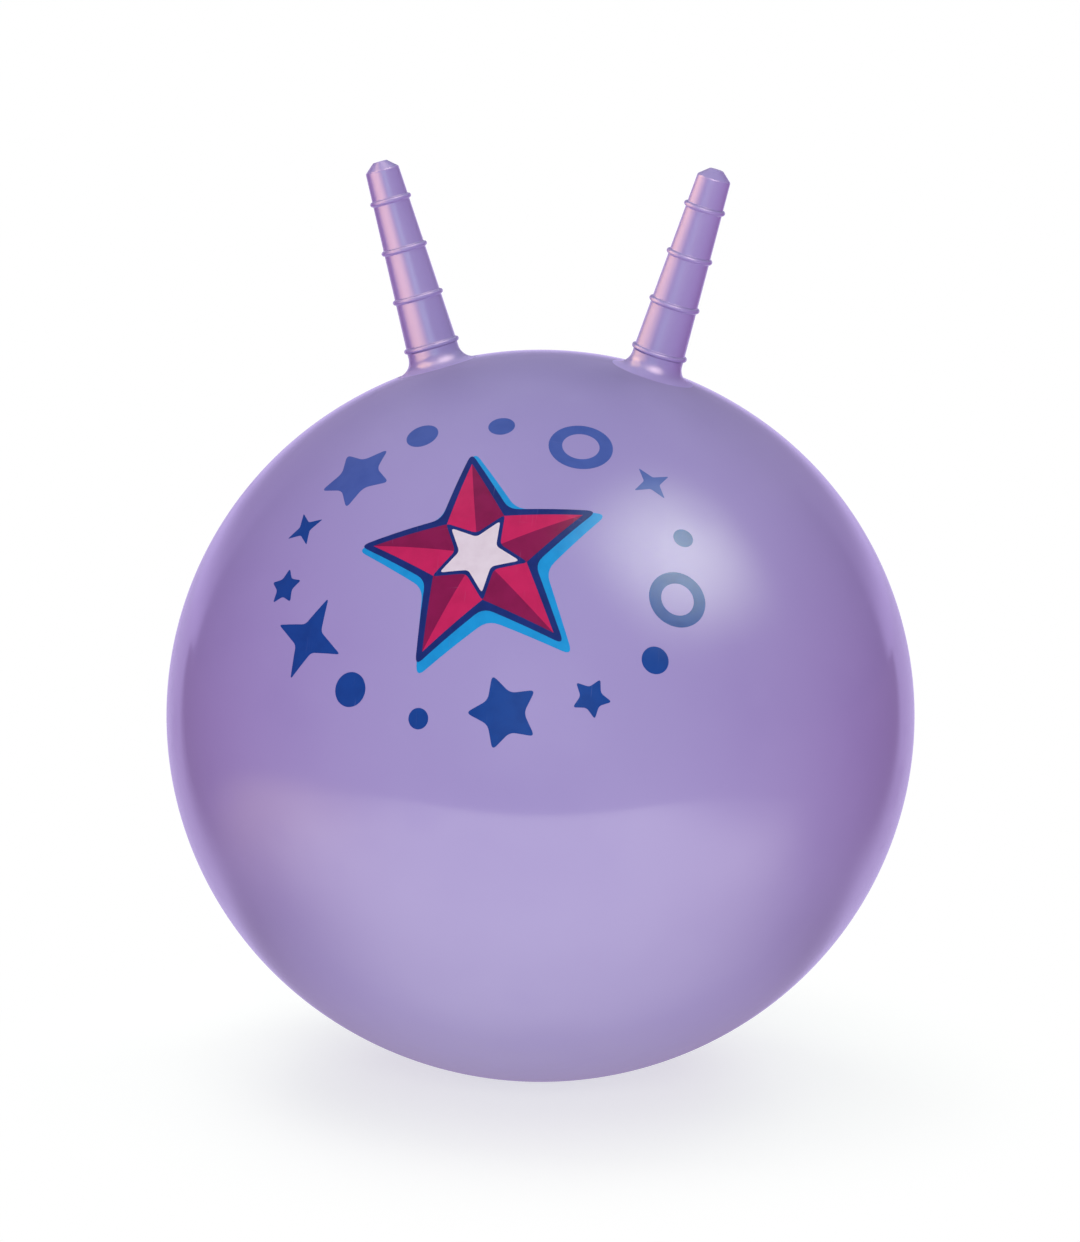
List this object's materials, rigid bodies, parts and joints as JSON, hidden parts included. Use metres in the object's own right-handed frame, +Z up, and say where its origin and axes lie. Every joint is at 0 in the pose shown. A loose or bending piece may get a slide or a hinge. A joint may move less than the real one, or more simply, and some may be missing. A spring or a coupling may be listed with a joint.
{
  "type": "hopper ball",
  "caption": "Round blown-up vinyl hopper ball with a pair of hollow ringed grip horns on top and a plugged air valve on the back.",
  "frame": {"origin": "on the floor, at the middle of the flat patch that the ball rests on", "axes": "+X from the left horn to the right horn as seen from the printed front, +Y from the printed front to the valve at the back, +Z up"},
  "size_m": [0.4498, 0.45, 0.55],
  "materials": {
    "vinyl": "satin",
    "valve_vinyl": "satin",
    "plug_plastic": "satin"
  },
  "bodies": {
    "ball": {"ball_skin": "vinyl", "valve_seat": "valve_vinyl"},
    "left_grip_horn": {"left_horn": "vinyl"},
    "right_grip_horn": {"right_horn": "vinyl"},
    "plug": {"valve_plug": "plug_plastic"}
  },
  "joints": [
    {"name": "left_horn_flex", "type": "hinge", "parent": "ball", "child": "left_grip_horn", "pos_m": [-0.06419, 0, 0.42473], "axis": [0.9588, 0, 0.284], "range_deg": [-20, 20], "stiffness_Nm_per_rad": 4},
    {"name": "right_horn_flex", "type": "hinge", "parent": "ball", "child": "right_grip_horn", "pos_m": [0.06419, 0, 0.42473], "axis": [0.9588, 0, -0.284], "range_deg": [-20, 20], "stiffness_Nm_per_rad": 4},
    {"name": "valve_plug_pull", "type": "slide", "parent": "ball", "child": "plug", "axis": [0, 0.5, 0.866], "range_m": [0, 0.03]}
  ]
}
